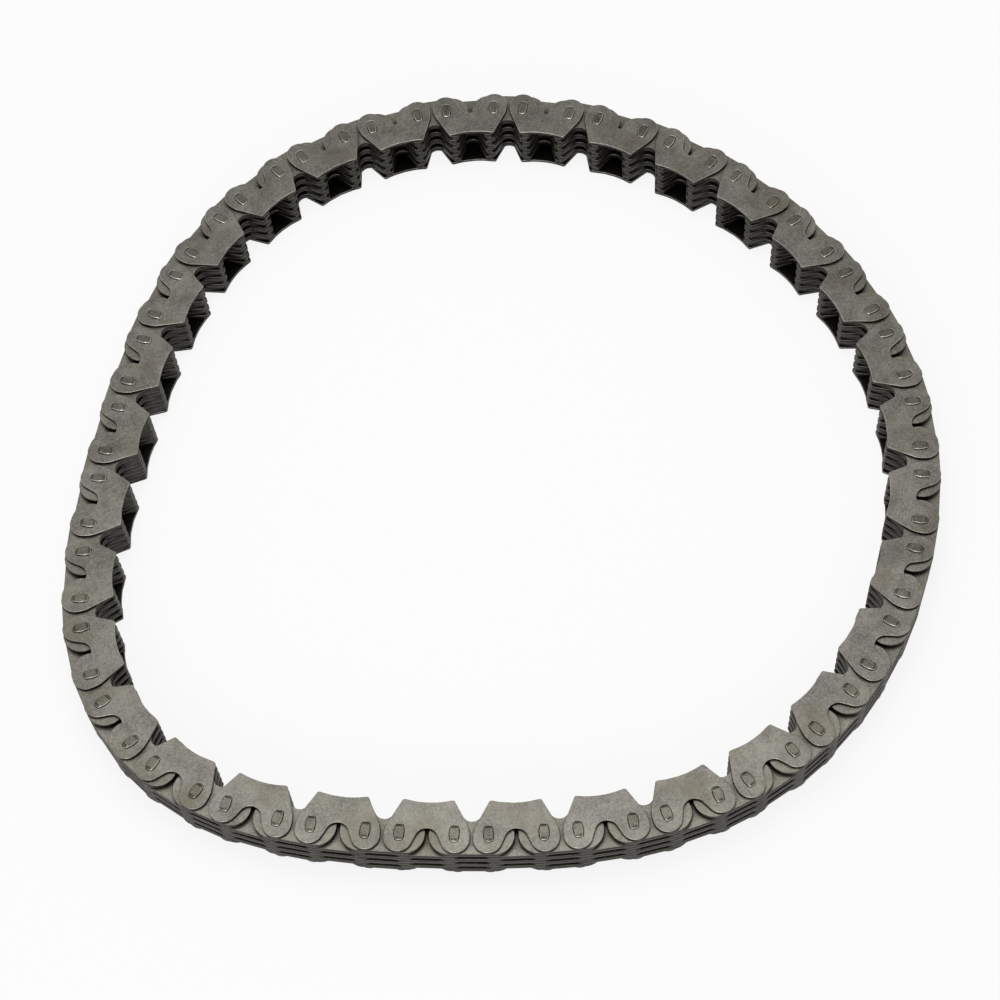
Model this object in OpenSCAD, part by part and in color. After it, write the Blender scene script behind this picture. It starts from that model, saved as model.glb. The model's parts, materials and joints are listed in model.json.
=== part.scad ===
// Silent chain: an endless inverted-tooth chain with rocker joints and side guides, lying on its side.
// Rows of guide plates and toothed plates alternate with plain rows of toothed plates. At each joint
// a pin held by the guide row rocks on a rocker held by the plain row.

/* [Chain] */
// Distance between neighbouring joints
pitch = 9.525; // [9.3:0.005:10.5]
// Thickness of a toothed link plate
plate_t = 1.5; // [1.2:0.05:2]
// Thickness of a guide plate
guide_t = 0.8; // [0.6:0.05:1.5]
// Running gap between neighbouring plates
layer_gap = 0.05; // [0.03:0.01:0.1]
// Height of a pin's end above its guide plate
pin_proud = 0.3; // [0.1:0.05:0.6]

/* [Link plate] */
// Radius of a plate's rounded end, about its joint
end_r = 4.4; // [4.1:0.05:4.6]
// Depth of the tooth tips below the line of joints
tooth_depth = 7.5; // [7:0.1:8]
// Slope of a tooth's outer flank
flank_angle = 30; // [27:0.5:32]
// Rounding of a tooth's tip
tip_r = 0.5; // [0.3:0.05:0.7]
// Depth of the crest of the tooth gap below the line of joints
crest_depth = 3; // [2.4:0.1:3.4]
// Radius of the tooth gap at its crest
crest_r = 2.2; // [1.9:0.05:2.6]
// Slope of the tooth gap's sides
gap_angle = 31; // [26:0.5:34]

/* [Guide plate] */
// Radius of the two round lobes at the back
lobe_r = 3.17; // [2.9:0.05:3.3]
// Distance of a lobe's centre outward of its joint, along the chain
lobe_out = 1.31; // [1.1:0.02:1.4]
// Distance of a lobe's centre behind the line of joints
lobe_back = 1.08; // [0.9:0.02:1.3]
// Radius of the notch between the lobes
notch_r = 2.5; // [2.1:0.05:2.6]
// Depth of the notch past the line of joints
notch_depth = 1.05; // [0.6:0.05:1.3]
// Depth of the hollow in the lower edge
edge_hollow = 0.65; // [0.3:0.05:0.9]

/* [Joint] */
// Width of a pin or rocker
pin_w = 2.15; // [1.9:0.05:2.3]
// Height of a pin or rocker
pin_h = 3.7; // [3.4:0.05:4]
// Radius of the rocking faces
face_r = 4.5; // [4:0.1:6]
// Gap between a pin and its rocker
rock_gap = 0.1; // [0.08:0.01:0.14]
// Gap between a pin and its seat in a plate
seat_gap = 0.02; // [0.01:0.01:0.04]
// Room for the other row's pin to swing in a plate's hole
swing_gap = 0.12; // [0.08:0.01:0.2]

/* [Lay of the loop] */
// Heading of the first row
lay_start = -38.3; // [-180:0.1:180]
// Swing of the heading in two to five waves round the loop
lay_waves = [1.66, 6.28, 4.68, 2.37]; // [0:0.01:8]
// Where each of those waves peaks
lay_peaks = [82, 36, 11, 6]; // [-180:1:180]

/* [Hidden] */
$fn = 64;
guide_links = 32;
rows = 2 * guide_links;
root_rows = [6 : 10];
inner_layers = 7;
arc_step = 10;
// An arc stands this far proud of the straight edge that runs into it
arc_lap = 0.01;
plate_colour = "#5f5e57";
pin_colour = "#7d7b72";

// Heights in the stack
layer_step = plate_t + layer_gap;
inner_z = pin_proud + guide_t + layer_gap;
inner_h = inner_layers * layer_step - layer_gap;
guide_top_z = inner_z + inner_h + layer_gap;
chain_h = guide_top_z + guide_t + pin_proud;

// Tooth: the flank leaves the rounded end at flank_top
half = pitch / 2;
back_y = arc_lap - end_r;
flank_top = [half, 0] - back_y * way(flank_angle);
gap_r = crest_r - arc_lap;
crest_y = crest_depth + crest_r;
tip_y = tooth_depth - tip_r;
tip_edge = tip_r - arc_lap;
tip_out = flank_x(tip_y) - tip_edge / cos(flank_angle);
tip_in = gap_x(tip_y) + tip_edge / cos(gap_angle);

// Guide plate: one straight line runs from the notch into the lobe
notch_c = [0, notch_depth - notch_r];
lobe_c = [half + lobe_out, -lobe_back];
notch_edge = notch_r - arc_lap;
lobe_edge = lobe_r - arc_lap;
lobe_way = lobe_c - notch_c;
touch_angle = atan2(lobe_way.y, lobe_way.x) - asin((notch_edge + lobe_edge) / norm(lobe_way));
touch = way(touch_angle + 90);
// Its end is an arc from the lobe's outermost point to the flank
end_x = lobe_c.x + lobe_edge;
flank_line = flank_top * way(flank_angle);
guide_end_r = (flank_line - end_x * cos(flank_angle) + lobe_back * sin(flank_angle)) / (1 - cos(flank_angle));
edge_y = tooth_depth - edge_hollow;
edge_out = tip_out - tip_r / 2;
edge_r = (pow(edge_out, 2) + pow(edge_hollow, 2)) / (2 * edge_hollow);

// Joint: a pin's far corner sets the swing room
face_x = rock_gap / 2 + face_r;
back_x = rock_gap / 2 + pin_w - face_r;
pin_mid = rock_gap / 2 + pin_w / 2;
corner_x = (pow(face_r, 2) - pow(pin_h / 2, 2) + pow(pin_mid, 2) - pow(back_x, 2)) / (2 * (pin_mid - back_x));
corner_y = sqrt(pow(face_r, 2) - pow(corner_x - back_x, 2));
swing_r = norm([corner_x, corner_y]) + swing_gap;
swing_lip = 2 * pin_mid - corner_x;

// Loop: each row's heading, closed by one more wave that runs once round the loop
turn = [for (j = [0 : rows - 1]) 360 * (j + 0.5) / rows];
lay = [for (a = turn) lay_start + a + sum([for (k = [0 : 3]) lay_waves[k] * cos((k + 2) * a - lay_peaks[k])])];
heading = bent(closing([0, 0], 8));
path = [for (j = 0, p = [0, 0]; j < rows; p = p + pitch * way(heading[j]), j = j + 1) p];
path_x = [for (p = path) p.x];
path_y = [for (p = path) p.y];
centre = [max(path_x) + min(path_x), max(path_y) + min(path_y)] / 2;

function sum(v) = v * [for (x = v) 1];
function way(a) = [cos(a), sin(a)];
function arc(c, r, from, to) =
    let (n = ceil(abs(to - from) / arc_step))
    [for (i = [0 : n]) c + r * way(from + (to - from) * i / n)];
function flank_x(y) = flank_top.x - (y - flank_top.y) * tan(flank_angle);
function gap_x(y) = (gap_r + (y - crest_y) * sin(gap_angle)) / cos(gap_angle);
function tip_point(x, angle) = [x, tip_y] + tip_edge * way(angle);
function mirrored(half_outline) =
    concat(half_outline, [for (i = [len(half_outline) - 1 : -1 : 0]) [-half_outline[i].x, half_outline[i].y]]);

function bent(c) = [for (j = [0 : rows - 1]) lay[j] + c * way(turn[j])];
function closing(c, tries) = tries == 0 ? c :
    let (
        h = bent(c),
        miss = [sum([for (a = h) cos(a)]), sum([for (a = h) sin(a)])],
        slope = [for (f = [0, 1]) [for (g = [0, 1]) PI / 180 * sum([for (j = [0 : rows - 1])
            way(h[j] + 90)[f] * way(turn[j])[g]])]],
        d = slope[0][0] * slope[1][1] - slope[0][1] * slope[1][0],
        step = [slope[1][1] * miss.x - slope[0][1] * miss.y, slope[0][0] * miss.y - slope[1][0] * miss.x] / d
    )
    closing(c - step, tries - 1);

function number(n) = n < 10 ? str("0", n) : str(n);
function is_guide(j) = j % 2 == 0;
function row_name(j) = str(is_guide(j) ? "guide_link_" : "plain_link_", number(floor(j / 2) + 1));
function in_root(j) = len([for (r = root_rows) if (r == j) r]) > 0;

// Section of a pin or rocker, its rocking face towards the joint at the origin
module pin_section(grow = 0) {
    intersection() {
        translate([face_x, 0]) circle(face_r + grow);
        translate([back_x, 0]) circle(face_r + grow);
        translate([pin_mid, 0]) circle(pin_h / 2 + grow);
    }
}

// A toothed plate's hole: a seat for its own pin and room for the other row's to swing
module joint_hole() {
    pin_section(seat_gap);
    difference() {
        circle(swing_r);
        translate([swing_lip, -swing_r]) square(2 * swing_r);
    }
}

module at_joints() {
    for (side = [0, 1]) mirror([side, 0, 0]) translate([half, 0, 0]) children();
}

// Toothed plate, teeth towards +y, its two joints on the x axis
module link_plate() {
    side = [
        [half, back_y],
        flank_top,
        tip_point(tip_out, flank_angle),
        tip_point(tip_out, 90),
        tip_point(tip_in, 90),
        tip_point(tip_in, 180 - gap_angle),
        [0, crest_y] + gap_r * way(-gap_angle)
    ];
    color(plate_colour) linear_extrude(plate_t) difference() {
        union() {
            polygon(mirrored(side));
            at_joints() circle(end_r);
            for (x = [-tip_out, -tip_in, tip_in, tip_out]) translate([x, tip_y]) circle(tip_r);
        }
        translate([0, crest_y]) circle(crest_r);
        at_joints() joint_hole();
    }
}

// Guide plate: two lobes and a notch at the back, a hollow edge in place of teeth
module guide_plate() {
    side = concat(
        [notch_c + notch_edge * touch, lobe_c - lobe_edge * touch, lobe_c],
        arc([end_x - guide_end_r, lobe_c.y], guide_end_r, 0, flank_angle),
        [tip_point(tip_out, flank_angle), tip_point(tip_out, 90)]
    );
    color(plate_colour) linear_extrude(guide_t) difference() {
        union() {
            polygon(mirrored(side));
            for (x = [-1, 1]) translate([x * lobe_c.x, lobe_c.y]) circle(lobe_r);
            for (x = [-tip_out, tip_out]) translate([x, tip_y]) circle(tip_r);
        }
        translate(notch_c) circle(notch_r);
        translate([0, edge_y + edge_r]) circle(edge_r);
        at_joints() pin_section(seat_gap);
    }
}

// Long pin of a guide row
module joint_pin() {
    color(pin_colour) linear_extrude(chain_h) pin_section();
}

// Short rocker of a plain row
module rocker() {
    color(pin_colour) linear_extrude(inner_h) pin_section();
}

module inner_plates(layers) {
    for (i = layers) translate([0, 0, inner_z + i * layer_step]) link_plate();
}

module guide_link() {
    for (z = [pin_proud, guide_top_z]) translate([0, 0, z]) guide_plate();
    inner_plates([1 : 2 : inner_layers - 1]);
    at_joints() joint_pin();
}

module plain_link() {
    inner_plates([0 : 2 : inner_layers - 1]);
    translate([0, 0, inner_z]) at_joints() rocker();
}

// A row in its place round the loop
module link_row(j) {
    translate(path[j] - centre) rotate(heading[j]) translate([half, 0, 0])
        if (is_guide(j)) guide_link();
        else plain_link();
}

// Five rows that stay still while the others swing
module root_section() {
    for (j = root_rows) link_row(j);
}

root_section();
for (j = [0 : rows - 1]) if (!in_root(j)) link_row(j);
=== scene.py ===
# Silent chain lying on its side: finish for its plates, pins and rockers
import json
import math

import bmesh
import bpy
from mathutils import Matrix, Vector

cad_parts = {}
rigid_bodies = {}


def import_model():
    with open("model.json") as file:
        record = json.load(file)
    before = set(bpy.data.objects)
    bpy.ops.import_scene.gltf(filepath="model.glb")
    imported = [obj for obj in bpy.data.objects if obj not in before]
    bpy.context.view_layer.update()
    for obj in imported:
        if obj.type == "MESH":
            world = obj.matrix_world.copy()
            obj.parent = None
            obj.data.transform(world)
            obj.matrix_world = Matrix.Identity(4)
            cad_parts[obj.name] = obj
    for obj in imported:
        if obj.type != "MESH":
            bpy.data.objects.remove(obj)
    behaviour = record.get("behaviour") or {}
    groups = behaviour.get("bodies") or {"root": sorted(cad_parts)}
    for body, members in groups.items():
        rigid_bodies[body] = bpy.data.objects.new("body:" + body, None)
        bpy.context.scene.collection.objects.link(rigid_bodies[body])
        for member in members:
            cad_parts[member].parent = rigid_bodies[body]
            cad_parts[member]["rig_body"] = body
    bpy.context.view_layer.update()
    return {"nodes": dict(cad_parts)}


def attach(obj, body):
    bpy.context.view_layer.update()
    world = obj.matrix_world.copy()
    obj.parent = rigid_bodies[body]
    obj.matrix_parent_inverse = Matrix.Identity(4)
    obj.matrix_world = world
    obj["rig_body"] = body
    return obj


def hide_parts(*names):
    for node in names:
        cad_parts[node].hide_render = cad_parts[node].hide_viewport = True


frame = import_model()
mm = 0.001
print("frame loaded:", len(frame["nodes"]), "nodes of the chain")


def hexColour(text):
    parts = [int(text[i:i + 2], 16) / 255 for i in (1, 3, 5)]
    return tuple(p / 12.92 if p <= 0.04045 else ((p + 0.055) / 1.055) ** 2.4 for p in parts) + (1.0,)


def addNode(tree, kind, values=None, links=None, **settings):
    node = tree.nodes.new(kind)
    for key, value in settings.items():
        setattr(node, key, value)
    for key, value in (values or {}).items():
        node.inputs[key].default_value = value
    for key, source in (links or {}).items():
        tree.links.new(source, node.inputs[key])
    return node


def newMaterial(name):
    material = bpy.data.materials.new(name)
    material.use_nodes = True
    material.node_tree.nodes.clear()
    return material, material.node_tree


# Hardened, tumbled and oiled steel: matte with a soft sheen, a peppery grain and a brown-olive cast,
# clouded by oil, and darkened where plates lie close together, partly by old grease and partly by painted
# shade
guideLook = {"dark": "#464540", "light": "#706e66", "oil": "#4f483b", "grimeAndShadeColour": "#0f0d0b",
             "grain": 0.42 * mm, "cloud": 5 * mm, "stain": 9 * mm, "stretch": (1, 1, 1), "grainShare": 0.6,
             "grimeAndShade": 0.85, "grimeAndShadeReach": 0.8 * mm, "clearAt": 0.85,
             "smooth": 0.34, "rough": 0.52, "metallic": 0.8, "bump": 0.35, "bumpDepth": 0.02 * mm}
# Same steel between the guides, darkened deep in the stack, partly by grease and partly by painted shade
plateLook = dict(guideLook, dark="#48473f", light="#716f66", oil="#524d40",
                 grimeAndShadeReach=2.5 * mm, clearAt=0.7, grimeAndShade=0.9)
# Inner side of a guide: painted shade, nearly black, as it lies in the shaded hollows of the stack
innerShadeLook = dict(guideLook, dark="#1d1a17", light="#34302a", oil="#1c1712", grimeAndShadeReach=5 * mm, grimeAndShade=1.0)
# Sheared side of a plate: painted shade keeps it dark, as the sides face away from the light, with streaks
# across its thickness
wallShadeLook = dict(guideLook, dark="#1e1c19", light="#403c36", oil="#211c17", stretch=(1, 1, 0.06),
                grain=0.3 * mm, grainShare=0.75, grimeAndShade=1.0, grimeAndShadeReach=5 * mm, smooth=0.4, rough=0.6)
# Tumbled edge of a toothed plate: a dull line
edgeLook = dict(guideLook, dark="#4a4842", light="#6f6c63", smooth=0.38, rough=0.5, bump=0.15, grimeAndShade=0.8)
# Edge of a guide plate: rubbed, and paler as a painted highlight, so it shows a bright line of light
guideEdgeWearAndHighlightLook = dict(edgeLook, dark="#75726a", light="#9e9b91", smooth=0.28, rough=0.4, grimeAndShade=0.5)
# Ground pin: finer grain, darker than the guides round it
pinLook = dict(guideLook, dark="#31302a", light="#615f56", grain=0.3 * mm, smooth=0.32, rough=0.5,
               metallic=0.9, bump=0.4, grimeAndShade=0.8, grimeAndShadeReach=0.5 * mm)
# Rim of a pin's head: worn, and painted bright as a highlight
pinEdgeWearAndHighlightLook = dict(pinLook, dark="#a19e92", light="#c9c6ba", smooth=0.24, rough=0.36, bump=0.1, grimeAndShade=0.5)

# How many finer layers each pattern has, and how fast they fade
pepper = {"Detail": 3.0, "Roughness": 0.6}
clouds = {"Detail": 4.0, "Roughness": 0.55}
stains = {"Detail": 2.0, "Roughness": 0.5}
# Where the mottle turns from dark to light, where oil begins and how far it covers, where the painted shade
# and grime in corners is full
shades = {"darkStop": 0.36, "lightStop": 0.64, "oilFrom": 0.5, "oilFull": 0.75, "oilShare": 0.55,
          "grimeAndShadeFull": 0.35, "cornerSamples": 8}


def makeSteel(name, look):
    material, tree = newMaterial(name)
    place = addNode(tree, "ShaderNodeTexCoord").outputs["Object"]
    stretch = addNode(tree, "ShaderNodeMapping", {"Scale": look["stretch"]}, {"Vector": place})
    grain = addNode(tree, "ShaderNodeTexNoise", dict(pepper, Scale=1 / look["grain"]),
                    {"Vector": stretch.outputs["Vector"]}).outputs["Fac"]
    cloud = addNode(tree, "ShaderNodeTexNoise", dict(clouds, Scale=1 / look["cloud"]),
                    {"Vector": place}).outputs["Fac"]
    stain = addNode(tree, "ShaderNodeTexNoise", dict(stains, Scale=1 / look["stain"]),
                    {"Vector": place}).outputs["Fac"]
    mottle = addNode(tree, "ShaderNodeMix", {"Factor": look["grainShare"]}, {"A": cloud, "B": grain},
                     data_type="FLOAT").outputs["Result"]
    ramp = addNode(tree, "ShaderNodeValToRGB", None, {"Fac": mottle})
    for stop, shade in zip(ramp.color_ramp.elements, ("dark", "light")):
        stop.position = shades[shade + "Stop"]
        stop.color = hexColour(look[shade])
    patch = addNode(tree, "ShaderNodeMapRange",
                    {"From Min": shades["oilFrom"], "From Max": shades["oilFull"],
                     "To Max": shades["oilShare"]}, {"Value": stain})
    oiled = addNode(tree, "ShaderNodeMix", {"B": hexColour(look["oil"])},
                    {"Factor": patch.outputs["Result"], "A": ramp.outputs["Color"]}, data_type="RGBA")
    # Painted shade, partly grime: ambient occlusion darkens corners, gaps and hollows towards a near-black
    # colour
    corner = addNode(tree, "ShaderNodeAmbientOcclusion", {"Distance": look["grimeAndShadeReach"]},
                     samples=shades["cornerSamples"])
    grimeAndShade = addNode(tree, "ShaderNodeMapRange",
                    {"From Min": shades["grimeAndShadeFull"], "From Max": look["clearAt"],
                     "To Min": look["grimeAndShade"], "To Max": 0.0}, {"Value": corner.outputs["AO"]})
    colour = addNode(tree, "ShaderNodeMix", {"B": hexColour(look["grimeAndShadeColour"])},
                     {"Factor": grimeAndShade.outputs["Result"], "A": oiled.outputs["Result"]}, data_type="RGBA")
    rough = addNode(tree, "ShaderNodeMapRange", {"To Min": look["smooth"], "To Max": look["rough"]},
                    {"Value": mottle})
    bump = addNode(tree, "ShaderNodeBump", {"Strength": look["bump"], "Distance": look["bumpDepth"]},
                   {"Height": grain})
    shader = addNode(tree, "ShaderNodeBsdfPrincipled", {"Metallic": look["metallic"]},
                     {"Base Color": colour.outputs["Result"], "Roughness": rough.outputs["Result"],
                      "Normal": bump.outputs["Normal"]})
    addNode(tree, "ShaderNodeOutputMaterial", None, {"Surface": shader.outputs["BSDF"]})
    return material


guideSteel = makeSteel("tumbled oiled steel", guideLook)
plateSteel = makeSteel("blanked oiled steel", plateLook)
innerShadeSteel = makeSteel("inner steel, painted shade", innerShadeLook)
wallShadeSteel = makeSteel("sheared steel side, painted shade", wallShadeLook)
edgeSteel = makeSteel("tumbled steel edge", edgeLook)
guideEdgeWearAndHighlightSteel = makeSteel("rubbed steel edge, painted highlight", guideEdgeWearAndHighlightLook)
pinSteel = makeSteel("ground pin steel", pinLook)
pinEdgeWearAndHighlightSteel = makeSteel("polished pin edge, painted highlight", pinEdgeWearAndHighlightLook)
print("steel finishes made")

# Kinds of piece in a row, told apart by their height; arcStep is in degrees
faceSlots = {"flat": 0, "wall": 1, "rim": 2, "inner": 3}  # order of each kind's finish
guidePlate = {"label": "guides", "height": 0.8 * mm, "edge": 0.15 * mm, "segments": 2, "arcStep": 5,
              "finish": [guideSteel, wallShadeSteel, guideEdgeWearAndHighlightSteel, innerShadeSteel]}
toothedPlate = {"label": "plates", "height": 1.5 * mm, "edge": 0.09 * mm, "segments": 1, "arcStep": 10,
                "finish": [plateSteel, wallShadeSteel, edgeSteel]}
rocker = {"label": "rockers", "height": 10.8 * mm, "edge": 0.15 * mm, "segments": 1, "arcStep": 10,
          "finish": [pinSteel, pinSteel, pinSteel]}
longPin = {"label": "pins", "height": 13.1 * mm, "edge": 0.18 * mm, "segments": 1, "arcStep": 10,
           "slopeLength": 0.7 * mm, "slopeDrop": 0.28 * mm,  # ends pressed down by the rivet set
           "finish": [pinSteel, pinSteel, pinEdgeWearAndHighlightSteel]}
kinds = [guidePlate, toothedPlate, rocker, longPin]

# Distances for joining points, angles for flats and corners, and how level a face's normal is
bench = {"weld": 0.001 * mm, "sliver": 0.03 * mm, "flat": math.radians(0.5),
         "sharp": math.radians(40), "wall": 0.4, "level": 0.98, "holeWidth": 12 * mm,
         "onPlane": 0.0001 * mm}


def looseParts(bm, joins=lambda edge: True):
    bm.verts.index_update()
    seen = set()
    for first in bm.verts:
        if first.index in seen:
            continue
        part, queue = [], [first]
        seen.add(first.index)
        while queue:
            vert = queue.pop()
            part.append(vert)
            for edge in vert.link_edges:
                other = edge.other_vert(vert)
                if other.index not in seen and joins(edge):
                    seen.add(other.index)
                    queue.append(other)
        yield part


def spanOf(verts, axis):
    along = [v.co[axis] for v in verts]
    return max(along) - min(along)


def kindOf(verts):
    height = spanOf(verts, 2)
    return min(kinds, key=lambda kind: abs(kind["height"] - height))


def isWall(face):
    return abs(face.normal.z) < bench["wall"]


def alongWall(edge):
    return any(isWall(face) for face in edge.link_faces)


def isUpright(edge):
    return edge.is_manifold and all(isWall(face) for face in edge.link_faces)


def outlineVerts(bm):
    # leaves out the holes for pins and rockers, which nobody sees
    for ring in looseParts(bm, alongWall):
        if math.hypot(spanOf(ring, 0), spanOf(ring, 1)) > bench["holeWidth"]:
            yield from ring


def cutEnds(bm, verts, kind):
    # slants both ends of a long pin's two heads, along its wide side
    middle = sum((v.co for v in verts), Vector()) / len(verts)
    spread = [v.co.xy - middle.xy for v in verts]
    wide = sum(s.x * s.x - s.y * s.y for s in spread)
    skew = sum(2 * s.x * s.y for s in spread)
    angle = math.atan2(skew, wide) / 2
    along = Vector((math.cos(angle), math.sin(angle), 0))
    reach = max(abs(s.dot(along.xy)) for s in spread) - kind["slopeLength"]
    for side in (-1, 1):
        for end in (-1, 1):
            up = Vector((0, 0, end))
            normal = along * side * kind["slopeDrop"] + up * kind["slopeLength"]
            faces = dict.fromkeys(f for v in verts for f in v.link_faces)
            edges = dict.fromkeys(e for f in faces for e in f.edges)
            cut = bmesh.ops.bisect_plane(bm, geom=[*faces, *edges, *verts], dist=bench["onPlane"],
                                         plane_co=middle + along * side * reach + up * kind["height"] / 2,
                                         plane_no=normal.normalized(), clear_outer=True)["geom_cut"]
            bmesh.ops.contextual_create(bm, geom=[g for g in cut if isinstance(g, bmesh.types.BMEdge)])
            cutVerts = [g for g in cut if isinstance(g, bmesh.types.BMVert)]
            # a point that lay on the plane already would be listed twice
            verts = list(dict.fromkeys([v for v in verts if v.is_valid] + cutVerts))


def takeKind(bm, source, kind):
    bm.from_mesh(source.data)
    bmesh.ops.remove_doubles(bm, verts=bm.verts[:], dist=bench["weld"])
    others = [v for part in looseParts(bm) if kindOf(part) is not kind for v in part]
    bmesh.ops.delete(bm, geom=others, context="VERTS")
    return len(bm.verts)


def shapeKind(bm, kind):
    # one face for each flat, slanted pin heads, and arcs in a few steps
    bmesh.ops.remove_doubles(bm, verts=bm.verts[:], dist=bench["sliver"])
    bmesh.ops.dissolve_limit(bm, angle_limit=bench["flat"], verts=bm.verts[:], edges=bm.edges[:],
                             delimit={"NORMAL"})
    if "slopeDrop" in kind:
        for part in list(looseParts(bm)):
            cutEnds(bm, part, kind)
        bmesh.ops.remove_doubles(bm, verts=bm.verts[:], dist=bench["sliver"])
        bmesh.ops.recalc_face_normals(bm, faces=bm.faces[:])
    bmesh.ops.dissolve_limit(bm, angle_limit=math.radians(kind["arcStep"]), verts=bm.verts[:],
                             edges=[e for e in bm.edges if isUpright(e)], delimit={"NORMAL"})


def roundRims(bm, kind):
    shown = set(outlineVerts(bm)) if kind is toothedPlate else set(bm.verts)
    corners = [e for e in bm.edges if e.is_manifold and e.calc_face_angle(0) > bench["sharp"]]
    for edge in filter(isUpright, corners):
        edge.smooth = False
    rim = [e for e in corners if e.verts[0] in shown and not isUpright(e)]
    return bmesh.ops.bevel(bm, geom=rim, offset=kind["edge"], offset_type="OFFSET", affect="EDGES",
                           segments=kind["segments"], profile=0.5, material=-1, clamp_overlap=False)["faces"]


def paintFaces(bm, rims, kind):
    for face in bm.faces:
        face.smooth = abs(face.normal.z) < bench["level"]  # flats stay flat, walls run round
        face.material_index = faceSlots["wall" if isWall(face) else "flat"]
    for face in rims:
        face.smooth = True
        face.material_index = faceSlots["rim"]
    # Inward faces of the guides take the nearly black painted shade
    if kind is guidePlate:
        middle = sum(v.co.z for v in bm.verts) / len(bm.verts)
        for face in bm.faces:
            inwards = face.normal.z * (middle - face.verts[0].co.z) > 0
            if inwards and not isWall(face):
                face.material_index = faceSlots["inner"]


def dressKind(source, kind, name, body):
    bm = bmesh.new()
    if not takeKind(bm, source, kind):
        bm.free()
        return None
    shapeKind(bm, kind)
    paintFaces(bm, roundRims(bm, kind), kind)
    mesh = bpy.data.meshes.new(name)
    bm.to_mesh(mesh)
    bm.free()
    for steel in kind["finish"]:
        mesh.materials.append(steel)
    piece = bpy.data.objects.new(name, mesh)
    bpy.context.scene.collection.objects.link(piece)
    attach(piece, body)
    return piece


faceCount = 0
for node, source in sorted(frame["nodes"].items()):
    for kind in kinds:
        piece = dressKind(source, kind, node + "_" + kind["label"], source["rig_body"])
        if piece:
            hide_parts(node)
            faceCount += len(piece.data.polygons)
print("chain dressed, faces:", faceCount)

# Fitted to the pins in the photograph
camera = {"lens": 86.1, "sensor": 36, "clip": (0.01, 20), "place": Vector((-2.12, -270.4, 492.8)) * mm,
          "elevation": math.radians(62.0), "turn": math.radians(-0.39), "roll": math.radians(5.72)}


def placeCamera():
    lens = bpy.data.cameras.new("camera")
    lens.lens = camera["lens"]
    lens.sensor_width = camera["sensor"]
    lens.clip_start, lens.clip_end = camera["clip"]
    eye = bpy.data.objects.new("camera", lens)
    bpy.context.scene.collection.objects.link(eye)
    eye.matrix_world = (Matrix.Translation(camera["place"])
                        @ Matrix.Rotation(camera["turn"], 4, "Z")
                        @ Matrix.Rotation(math.pi / 2 - camera["elevation"], 4, "X")
                        @ Matrix.Rotation(-camera["roll"], 4, "Z"))
    bpy.context.scene.camera = eye


# Metres and watts; skyFill lights the chain, backdrop is what the camera and the steel see
studio = {"floorSize": 6.0, "floorColour": "#f4f4f2", "floorGlow": 0.85, "skyColour": "#ffffff",
          "skyFill": 0.4, "backdrop": 1.0,
          "keyPlace": Vector((-0.02, 0.1, 0.62)), "keySize": 0.4, "keyPower": 1.9,
          "fillPlace": Vector((-0.2, -0.75, 0.45)), "fillSize": 0.4, "fillPower": 2.0}


def backdropFactor(tree):
    path = addNode(tree, "ShaderNodeLightPath").outputs
    seen = addNode(tree, "ShaderNodeMath", None, {0: path["Is Camera Ray"], 1: path["Is Glossy Ray"]},
                   operation="MAXIMUM")
    return addNode(tree, "ShaderNodeMath", None, {0: seen.outputs[0], 1: path["Is Transmission Ray"]},
                   operation="MAXIMUM").outputs[0]


def layFloor():
    bm = bmesh.new()
    bmesh.ops.create_grid(bm, x_segments=1, y_segments=1, size=studio["floorSize"] / 2)
    mesh = bpy.data.meshes.new("floor")
    bm.to_mesh(mesh)
    bm.free()
    floor = bpy.data.objects.new("floor", mesh)
    bpy.context.scene.collection.objects.link(floor)
    # Matt white card: pale, keeps a soft shadow
    material, tree = newMaterial("matt white card")
    matt = addNode(tree, "ShaderNodeBsdfDiffuse", {"Color": hexColour(studio["floorColour"])})
    glow = addNode(tree, "ShaderNodeEmission",
                   {"Color": hexColour(studio["skyColour"]), "Strength": studio["backdrop"]})
    share = addNode(tree, "ShaderNodeMath", {1: studio["floorGlow"]}, {0: backdropFactor(tree)},
                    operation="MULTIPLY")
    card = addNode(tree, "ShaderNodeMixShader", None,
                   {0: share.outputs[0], 1: matt.outputs[0], 2: glow.outputs[0]})
    addNode(tree, "ShaderNodeOutputMaterial", None, {"Surface": card.outputs[0]})
    mesh.materials.append(material)


def hangLamp(name):
    lamp = bpy.data.lights.new(name, "AREA")
    lamp.shape = "DISK"
    lamp.size = studio[name + "Size"]
    lamp.energy = studio[name + "Power"]
    hung = bpy.data.objects.new(name, lamp)
    bpy.context.scene.collection.objects.link(hung)
    place = studio[name + "Place"]
    hung.matrix_world = Matrix.Translation(place) @ place.to_track_quat("Z", "Y").to_matrix().to_4x4()


def lightSky():
    world = bpy.data.worlds.new("studio")
    bpy.context.scene.world = world
    world.use_nodes = True
    tree = world.node_tree
    tree.nodes.clear()
    strength = addNode(tree, "ShaderNodeMapRange",
                       {"To Min": studio["skyFill"], "To Max": studio["backdrop"]},
                       {"Value": backdropFactor(tree)})
    sky = addNode(tree, "ShaderNodeBackground", {"Color": hexColour(studio["skyColour"])},
                  {"Strength": strength.outputs["Result"]})
    addNode(tree, "ShaderNodeOutputWorld", None, {"Surface": sky.outputs[0]})


placeCamera()
layFloor()
lightSky()
hangLamp("key")
hangLamp("fill")
bpy.context.scene.view_settings.view_transform = "Standard"
print("camera, floor and light in place")
